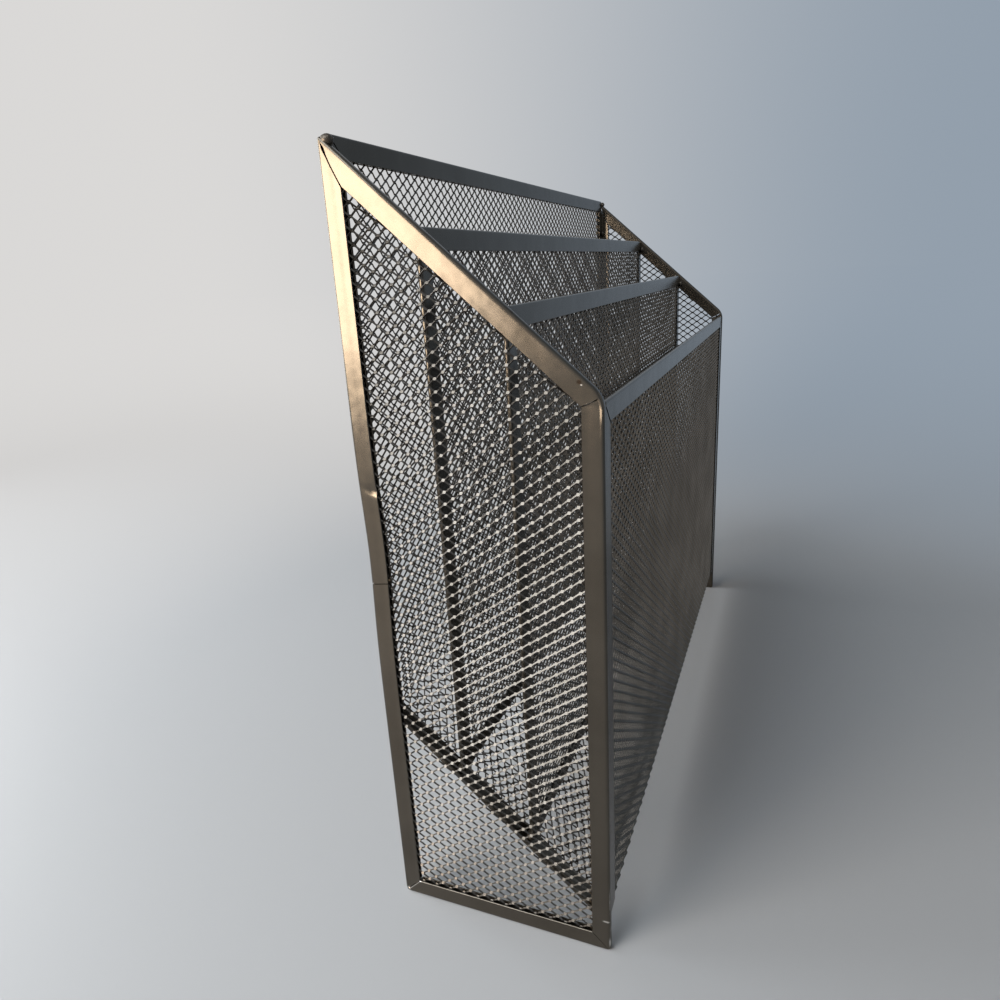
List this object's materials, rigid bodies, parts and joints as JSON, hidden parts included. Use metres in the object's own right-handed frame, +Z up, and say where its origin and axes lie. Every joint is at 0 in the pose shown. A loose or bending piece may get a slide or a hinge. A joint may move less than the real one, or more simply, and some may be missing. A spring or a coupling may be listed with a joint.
{
  "type": "desk file organizer",
  "caption": "Free-standing upright file organizer of strip-bound expanded metal mesh, with stepped pockets over a sloping floor and tapered side panels.",
  "frame": {"origin": "middle of the footprint, on the table surface", "axes": "+X along the pockets to the right, +Y from the low front to the tall back, +Z up"},
  "size_m": [0.33, 0.0856, 0.282],
  "materials": {
    "strip": "satin",
    "mesh": "satin",
    "weld": "satin"
  },
  "bodies": {
    "root": {"left_side_frame": "strip", "left_side_mesh": "mesh", "right_side_frame": "strip", "right_side_mesh": "mesh", "front_mesh": "mesh", "floor_mesh": "mesh", "back_mesh": "mesh", "front_top_strip": "strip", "back_top_strip": "strip", "left_end_strip": "strip", "right_end_strip": "strip", "front_divider_frame": "strip", "front_divider_mesh": "mesh", "rear_divider_frame": "strip", "rear_divider_mesh": "mesh", "front_welds": "weld", "back_welds": "weld", "front_divider_welds": "weld", "rear_divider_welds": "weld"}
  },
  "joints": []
}
